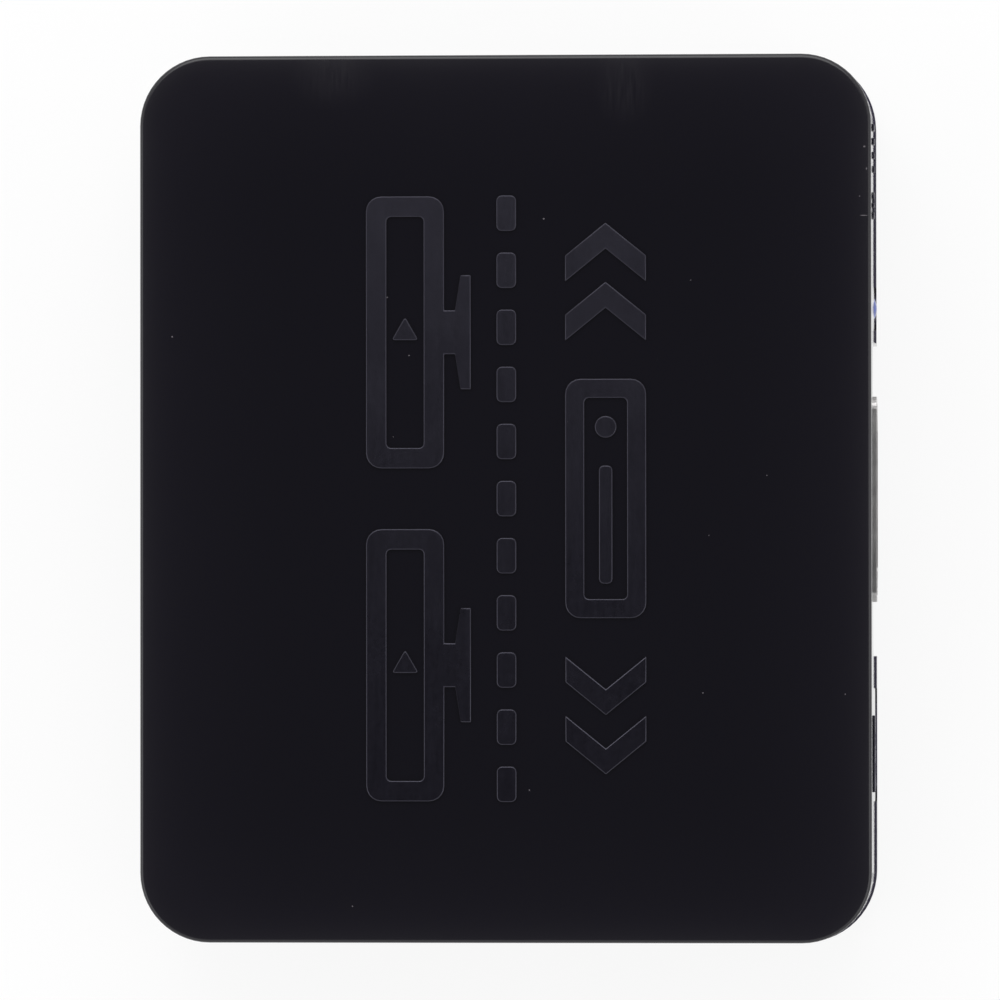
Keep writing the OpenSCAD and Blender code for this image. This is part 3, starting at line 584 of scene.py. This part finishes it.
GLOSS = cover_gloss()
LOWER = cover_lower()
SATIN = mark_satin()
NICKEL = metal("nickel_sheet", light=(0.76, 0.745, 0.735), dark=(0.58, 0.57, 0.565),
               dull=(0.28, 0.42), stretch=(900, 120, 2600))
ZINC = metal("zinc_screw", light=(0.42, 0.42, 0.43), dark=(0.27, 0.27, 0.29),
             dull=(0.26, 0.42), stretch=(1800, 1800, 300))
GOLD = metal("contact_gold", light=(0.80, 0.55, 0.20), dark=(0.66, 0.42, 0.13),
             dull=(0.18, 0.3), stretch=(900, 200, 2600))
TIN = metal("tinned_lead", light=(0.62, 0.62, 0.63), dark=(0.48, 0.48, 0.50),
            dull=(0.28, 0.42), stretch=(1200, 1200, 500))
CAN = metal("can_aluminium", light=(0.70, 0.70, 0.71), dark=(0.56, 0.56, 0.58),
            dull=(0.24, 0.36), stretch=(300, 300, 2200))
CRYSTAL = metal("crystal_steel", light=(0.60, 0.59, 0.57), dark=(0.46, 0.45, 0.44),
                dull=(0.22, 0.34), stretch=(300, 2200, 2200))
INSULATOR = moulded("insulator_black", (0.010, 0.010, 0.011), (0.016, 0.016, 0.017),
                    dull=(0.38, 0.52), grain=3500.0, relief=0.2)
CHIP = moulded("chip_moulding_black", (0.012, 0.012, 0.014), (0.020, 0.020, 0.022),
               dull=(0.5, 0.64), grain=4500.0, relief=0.3)
BASE = moulded("capacitor_base_black", (0.010, 0.010, 0.010), (0.018, 0.018, 0.018),
               dull=(0.42, 0.55), grain=3500.0, relief=0.2)
CERAMIC = moulded("ceramic_tan", (0.36, 0.23, 0.12), (0.44, 0.29, 0.16),
                  dull=(0.4, 0.55), grain=5000.0, relief=0.15)
GLAZE = moulded("resistor_glaze", (0.012, 0.012, 0.014), (0.022, 0.022, 0.024),
                dull=(0.2, 0.32), grain=5000.0, relief=0.08)
FERRITE = moulded("ferrite_grey", (0.060, 0.060, 0.066), (0.085, 0.085, 0.092),
                  dull=(0.45, 0.6), grain=5000.0, relief=0.25)
BOARD = board_mask()
LENS = lamp_lens()

FINISHES = {
    "top_cover": GLOSS, "bottom_cover": LOWER, "case_screws": ZINC, "main_board": BOARD,
    "status_lamp": LENS, "status_lamp_leads": TIN,
    "splitter_chip": CHIP, "splitter_chip_leads": TIN,
    "memory_chip": CHIP, "memory_chip_leads": TIN,
    "regulator": CHIP, "regulator_leads": TIN, "crystal": CRYSTAL,
    "capacitor_cans": CAN, "capacitor_bases": BASE, "surge_arrays": CHIP,
    "chip_capacitors": CERAMIC, "chip_resistors": GLAZE, "ferrite_bead": FERRITE,
}
for socket in ("video_input", "video_output_1", "video_output_2", "power_socket"):
    FINISHES[socket + "_shell"] = NICKEL
    FINISHES[socket + "_tongue"] = INSULATOR
    FINISHES[socket + "_contacts"] = GOLD
for name, finish in FINISHES.items():
    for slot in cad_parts[name].material_slots:
        slot.material = finish


def dress(mark):
    """Gives a mark its satin finish and lets it move with the case."""
    mark.data.materials.clear()
    mark.data.materials.append(SATIN)
    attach(mark, "root")


# Raised marks on the top face, read from the input side: two displays over their source

DISPLAY_X, DISPLAY_Y = 12.1, 7.25
DISPLAY_LENGTH, DISPLAY_WIDTH, DISPLAY_STROKE = 19.8, 5.7, 1.5
STAND_HALF, STAND_FLARE = 1.6, 2.6
NECK_STEP, FLARE_STEP, FOOT_STEP = 0.8, 0.4, 0.75
PLAY_RADIUS, PLAY_ROUND = 1.15, 0.25

SOURCE_Y = -7.35
SOURCE_LENGTH, SOURCE_WIDTH, SOURCE_STROKE = 17.4, 5.9, 1.4
DOT_X, DOT_RADIUS = 5.2, 0.8
SLOT_X, SLOT_LENGTH, SLOT_WIDTH, SLOT_ROUND = -1.9, 8.6, 1.0, 0.35

CHEVRON_X = (12.4, 16.7)
CHEVRON_LEAN, CHEVRON_STROKE = 2.4, 1.9

DASH_X, DASH_Y, DASH_PITCH, DASH_COUNT = -20.75, -0.13, 4.15, 11
DASH_LENGTH, DASH_WIDTH, DASH_ROUND = 2.6, 1.45, 0.4


def display_mark(name, x):
    """A wide display frame on a tapered stand, with a play sign in it."""
    plate = start_frame(name, DISPLAY_LENGTH, DISPLAY_WIDTH, DISPLAY_STROKE, x, DISPLAY_Y)
    lower_edge = DISPLAY_Y - DISPLAY_WIDTH / 2
    bpy.ops.mesh.select_all(action="SELECT")
    for side in (-STAND_HALF, STAND_HALF):
        bpy.ops.mesh.bisect(plane_co=((x + side) * MM, 0, 0), plane_no=(1, 0, 0))
        bpy.ops.mesh.select_all(action="SELECT")
    pick_edges(plate, lambda m: abs(m.x - x) < STAND_HALF and abs(m.y - lower_edge) < NEAR)
    extrude(0, -NECK_STEP)
    extrude(0, -FLARE_STEP)
    bpy.ops.transform.resize(value=(STAND_FLARE, 1, 1), center_override=(x * MM, 0, 0))
    extrude(0, -FOOT_STEP)
    add_disc(3, PLAY_RADIUS, x, DISPLAY_Y, turn=-math.pi / 2)
    round_corners(PLAY_ROUND, 3)
    raise_mark(plate)
    return plate


def source_mark(name):
    """A flat player box with a lamp dot and a slot."""
    plate = start_frame(name, SOURCE_LENGTH, SOURCE_WIDTH, SOURCE_STROKE, 0.0, SOURCE_Y)
    add_disc(24, DOT_RADIUS, DOT_X, SOURCE_Y)
    add_plate(SLOT_LENGTH, SLOT_WIDTH, SLOT_X, SOURCE_Y)
    round_corners(SLOT_ROUND, 3)
    raise_mark(plate)
    return plate


def chevron_mark(name, x, y, lean, height, stroke, rise=MARK_RISE):
    """A bent bar: two slanted arms that meet in a point."""
    plate = start_plate(name, stroke, height / 2, x, y - height / 4)
    pick_edges(plate, lambda m: m.y > y - NEAR)
    bpy.ops.transform.translate(value=(lean * MM, 0, 0))
    extrude(-lean, height / 2)
    raise_mark(plate, rise)
    return plate


def dash_row(name):
    """A row of short rounded dashes between the displays and their source."""
    plate = start_plate(name, DASH_LENGTH, DASH_WIDTH, DASH_X, DASH_Y)
    round_corners(DASH_ROUND, 4)
    raise_mark(plate)
    repeat(plate, DASH_COUNT, DASH_PITCH)
    return plate


top_marks = [display_mark("display_mark_left", -DISPLAY_X),
             display_mark("display_mark_right", DISPLAY_X),
             dash_row("dash_row_mark"), source_mark("source_mark")]
for count, x in enumerate(CHEVRON_X, start=1):
    for side, sign in (("right", 1), ("left", -1)):
        top_marks.append(chevron_mark("chevron_%s_%d" % (side, count), sign * x, SOURCE_Y,
                                      sign * CHEVRON_LEAN, SOURCE_WIDTH, CHEVRON_STROKE))
for mark in top_marks:
    set_down(mark, Matrix.Translation((0, 0, TOP_Z - MARK_SINK)))
    dress(mark)


# Small raised signs on the socket walls

WALL_MARK_RISE = 0.13 * MM
SOCKET_WALL_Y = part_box("bottom_cover")[1][1]
BEZEL_Y = SOCKET_WALL_Y - 0.45 * MM
UPPER_WALL_Y = SOCKET_WALL_Y - 0.22 * MM
UPPER_SIGN_Z = 12.6

ARROW_Z, ARROW_PITCH, ARROW_COUNT = 2.4, 2.1, 3
ARROW_LEAN, ARROW_WIDTH, ARROW_STROKE = 0.8, 1.5, 0.5
OUTPUT_X = 13.0
RING_RADIUS, RING_INNER_SHARE, RING_GAP_Y = 1.0, 0.68, 0.75
RING_BAR_WIDTH, RING_BAR_HEIGHT, RING_BAR_Y = 0.32, 0.95, 0.62
SIGN_BAR = 0.5


def upright(x, wall_y, z, turn=0.0):
    """Stands a flat mark up on a socket wall."""
    return (Matrix.Translation((x * MM, wall_y, z * MM)) @ Matrix.Rotation(turn, 4, "Z")
            @ Matrix.Rotation(math.radians(90), 4, "X"))


def put_on_input_wall(plate, x):
    """Raises a flat sign and stands it on the upper part of the input wall."""
    raise_mark(plate, WALL_MARK_RISE)
    set_down(plate, upright(x, -UPPER_WALL_Y, UPPER_SIGN_Z))
    dress(plate)


def wall_arrows(name, x, wall_y, turn, pointing):
    """Three small chevrons in a row under a socket: up to the input, down from an output."""
    arrows = chevron_mark(name, 0.0, 0.0, ARROW_LEAN, ARROW_WIDTH, ARROW_STROKE, WALL_MARK_RISE)
    set_down(arrows, Matrix.Rotation(math.radians(90 * pointing), 4, "Z"))
    repeat(arrows, ARROW_COUNT, ARROW_PITCH)
    set_down(arrows, Matrix.Translation((-ARROW_PITCH * MM, 0, 0)))
    set_down(arrows, upright(x, wall_y, ARROW_Z, turn))
    dress(arrows)


def power_mark(name, x):
    """A small open ring with a bar in its gap, beside the lamp."""
    plate = start_plate(name, RING_BAR_WIDTH, RING_BAR_HEIGHT, 0.0, RING_BAR_Y)
    select_nothing()
    bpy.ops.mesh.primitive_circle_add(vertices=36, radius=RING_RADIUS * MM, fill_type="NOTHING")
    on_ring = lambda m: abs(m.length - RING_RADIUS) < NEAR
    pick_edges(plate, lambda m: on_ring(m) and m.y > RING_GAP_Y)
    bpy.ops.mesh.delete(type="EDGE")
    pick_edges(plate, on_ring)
    extrude(0, 0)
    bpy.ops.transform.resize(value=(RING_INNER_SHARE, RING_INNER_SHARE, 1.0),
                             center_override=(0, 0, 0))
    put_on_input_wall(plate, x)


def signal_mark(name, x):
    """Four bars that rise in steps, beside the lamp."""
    left, low = -1.5, -0.75
    plate = start_plate(name, SIGN_BAR, SIGN_BAR, left, low)
    for step in (1, 2, 3):
        add_plate(SIGN_BAR, SIGN_BAR * (1 + step), left + step, low + SIGN_BAR / 2 * step)
    put_on_input_wall(plate, x)


def supply_mark(name, x):
    """A long bar over three short ones, above the power socket."""
    long_bar, short_bar, pitch, height = 5.6, 1.3, 2.15, 0.5
    plate = start_plate(name, long_bar, SIGN_BAR, 0.0, height)
    for side in (-1, 0, 1):
        add_plate(short_bar, SIGN_BAR, pitch * side, -height)
    put_on_input_wall(plate, x)


power_mark("power_mark", 21.4)
signal_mark("signal_mark", 25.6)
supply_mark("supply_mark", -18.6)
wall_arrows("input_arrows", 0.0, -BEZEL_Y, turn=0.0, pointing=1)
wall_arrows("output_1_arrows", -OUTPUT_X, BEZEL_Y, turn=math.pi, pointing=-1)
wall_arrows("output_2_arrows", OUTPUT_X, BEZEL_Y, turn=math.pi, pointing=-1)


# Floor, light and camera

FLOOR_SIZE = 6.0
FLOOR_Z = -0.05 * MM
FLOOR_TONE = (0.94, 0.94, 0.94, 1)
WHITE = (1, 1, 1)
WHITE_SEEN, WHITE_MIRRORED = 0.87, 0.96

# Brightness of the studio by height: the horizon, the soft band above it, the dark ceiling
STUDIO = [(0.0, (0.70, 0.70, 0.70, 1)), (0.30, (0.78, 0.78, 0.78, 1)),
          (0.60, (1.15, 1.15, 1.16, 1)), (0.75, (0.75, 0.75, 0.76, 1)),
          (0.93, (0.11, 0.11, 0.115, 1))]

CAMERA_TARGET = Vector((-0.10 * MM, 0.345 * MM, TOP_Z))
CAMERA_PLACE = Vector((-9.0 * MM, -38.1 * MM, TOP_Z + 0.634))
CAMERA_UP = Vector((1, -0.0008, 0))
VIEW_WIDTH = 72.67 * MM
SENSOR = 36.0
NEAREST = 0.01


def seen_share(tree, direct, mirrored):
    """One share for rays straight from the camera, another for those by gloss and glass."""
    path = add_node(tree, "ShaderNodeLightPath")
    turned = calc(tree, "MAXIMUM", path.outputs["Is Glossy Ray"],
                  path.outputs["Is Transmission Ray"])
    return calc(tree, "MAXIMUM", calc(tree, "MULTIPLY", path.outputs["Is Camera Ray"], direct),
                calc(tree, "MULTIPLY", turned, mirrored))


def pale_floor():
    """A wide pale floor that shows white to the camera and keeps a soft shadow."""
    bpy.ops.object.select_all(action="DESELECT")
    bpy.ops.mesh.primitive_plane_add(size=FLOOR_SIZE, location=(0, 0, FLOOR_Z))
    floor = bpy.context.object
    floor.name = "floor"
    material = bpy.data.materials.new("floor_pale")
    material.use_nodes = True
    tree = material.node_tree
    tree.nodes.remove(tree.nodes["Principled BSDF"])
    matt = add_node(tree, "ShaderNodeBsdfDiffuse", {"Color": FLOOR_TONE})
    white = add_node(tree, "ShaderNodeEmission", {"Color": (*WHITE, 1), "Strength": 1.0})
    blend = add_node(tree, "ShaderNodeMixShader")
    feed(tree, blend, (seen_share(tree, WHITE_SEEN, WHITE_MIRRORED),
                       matt.outputs["BSDF"], white.outputs["Emission"]))
    join(tree, blend.outputs["Shader"], tree.nodes["Material Output"].inputs["Surface"])
    floor.data.materials.append(material)


def soft_world():
    """A studio that is white round the sides and darker overhead; white behind the object."""
    world = bpy.data.worlds.new("studio")
    world.use_nodes = True
    tree = world.node_tree
    place = add_node(tree, "ShaderNodeTexCoord")
    ramp = add_node(tree, "ShaderNodeValToRGB")
    steps = ramp.color_ramp.elements
    steps[0].position, steps[0].color = STUDIO[0]
    steps[1].position, steps[1].color = STUDIO[-1]
    for height, level in STUDIO[1:-1]:
        steps.new(height).color = level
    path = add_node(tree, "ShaderNodeLightPath")
    join(tree, axis(tree, place.outputs["Generated"], "Z"), ramp.inputs["Fac"])
    seen = mix_colours(tree, path.outputs["Is Camera Ray"], ramp.outputs["Color"], WHITE)
    join(tree, seen, tree.nodes["Background"].inputs["Color"])
    bpy.context.scene.world = world


def soft_lamp(name, place, size, power):
    """A square soft light aimed at the object."""
    bpy.ops.object.light_add(type="AREA", location=place)
    lamp = bpy.context.object
    lamp.name = name
    lamp.data.size = size
    lamp.data.energy = power
    lamp.rotation_euler = (-Vector(place)).to_track_quat("-Z", "Y").to_euler()


def photo_camera():
    """Nearly straight down, a little from the input side, long side upright in the picture."""
    sight = CAMERA_TARGET - CAMERA_PLACE
    ahead = sight.normalized()
    right = ahead.cross(CAMERA_UP).normalized()
    upward = right.cross(ahead)
    bpy.ops.object.camera_add()
    camera = bpy.context.object
    camera.name = "camera"
    camera.matrix_world = Matrix((
        (right.x, upward.x, -ahead.x, CAMERA_PLACE.x),
        (right.y, upward.y, -ahead.y, CAMERA_PLACE.y),
        (right.z, upward.z, -ahead.z, CAMERA_PLACE.z),
        (0, 0, 0, 1)))
    camera.data.sensor_width = SENSOR
    camera.data.lens = SENSOR * sight.length / VIEW_WIDTH
    camera.data.clip_start = NEAREST
    bpy.context.scene.camera = camera


pale_floor()
soft_world()
soft_lamp("key_lamp", place=(0.30, 0.02, 0.34), size=0.4, power=1.1)
soft_lamp("side_lamp", place=(-0.20, -0.60, 0.45), size=0.5, power=0.8)
soft_lamp("back_lamp", place=(-0.15, 0.60, 0.45), size=0.5, power=0.8)
photo_camera()
bpy.context.scene.view_settings.view_transform = "Standard"
